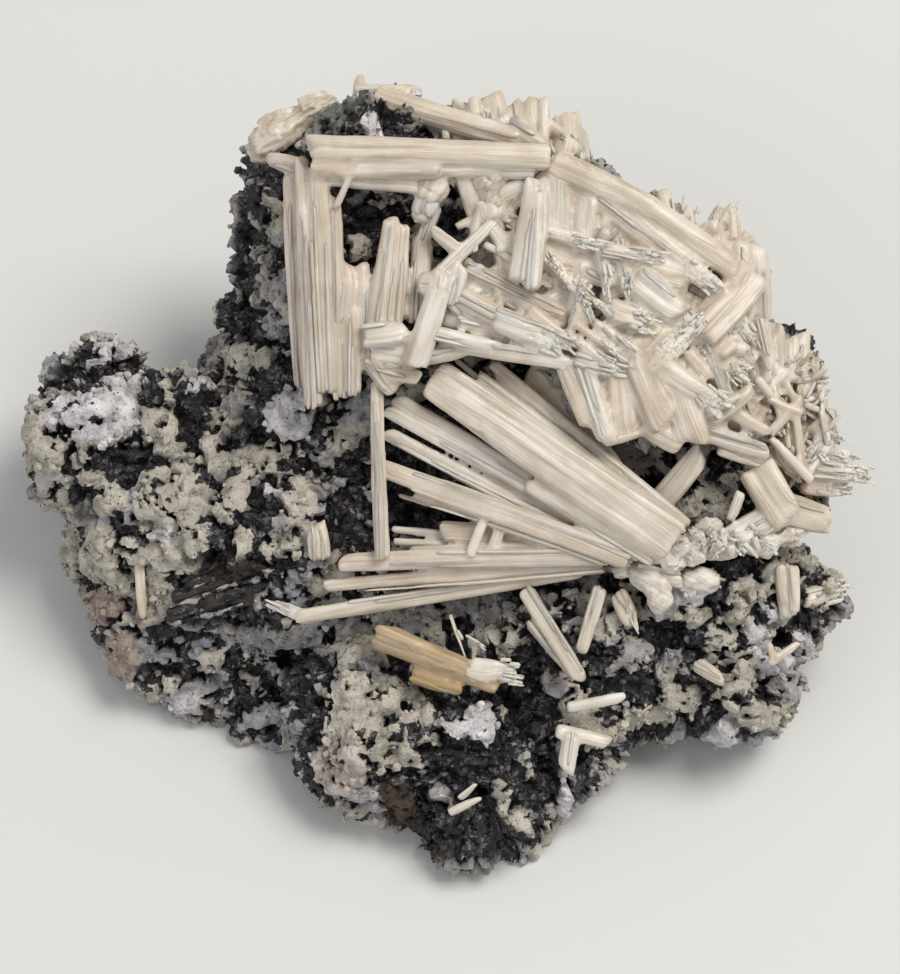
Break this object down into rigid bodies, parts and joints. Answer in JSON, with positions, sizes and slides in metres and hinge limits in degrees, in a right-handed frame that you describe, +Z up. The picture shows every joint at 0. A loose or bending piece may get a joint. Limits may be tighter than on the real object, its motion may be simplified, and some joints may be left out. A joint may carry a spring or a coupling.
{
  "type": "cerussite crystal cluster",
  "caption": "Cluster of striated cream prisms, laths and a fan of blades on a rough dark and pale rock block with a flat base to stand on.",
  "frame": {"origin": "on the flat broken base, at z = 0, straight under the middle of the crystal face", "axes": "+X across the specimen to the right as it is looked at, +Y to the back, +Z up; the crystal face leans back and looks 60 degrees above the horizon towards -Y"},
  "size_m": [0.0956, 0.0795, 0.0526],
  "materials": {
    "galena_rock": "rough, granular, dark with pale crust",
    "cerussite": "milky, silky, striated along each crystal",
    "pale_crust": "matte, granular, white to cream"
  },
  "bodies": {
    "root": {"matrix_block": "galena_rock", "corner_columns": "cerussite", "crystal_crowd": "cerussite", "crystal_fan": "cerussite", "golden_blades": "cerussite", "grey_lath": "cerussite", "lath_net": "cerussite", "left_crest": "pale_crust", "left_needle": "cerussite", "level_lath": "cerussite", "lower_needle": "cerussite", "pale_point": "cerussite", "right_prisms": "cerussite", "right_spike": "cerussite", "shaded_prism": "cerussite", "short_prism": "cerussite", "slanting_lath": "cerussite", "striated_stub": "cerussite", "tilted_blade": "cerussite", "top_crest": "cerussite", "wedge_prism": "cerussite", "white_knob": "pale_crust"}
  },
  "joints": []
}
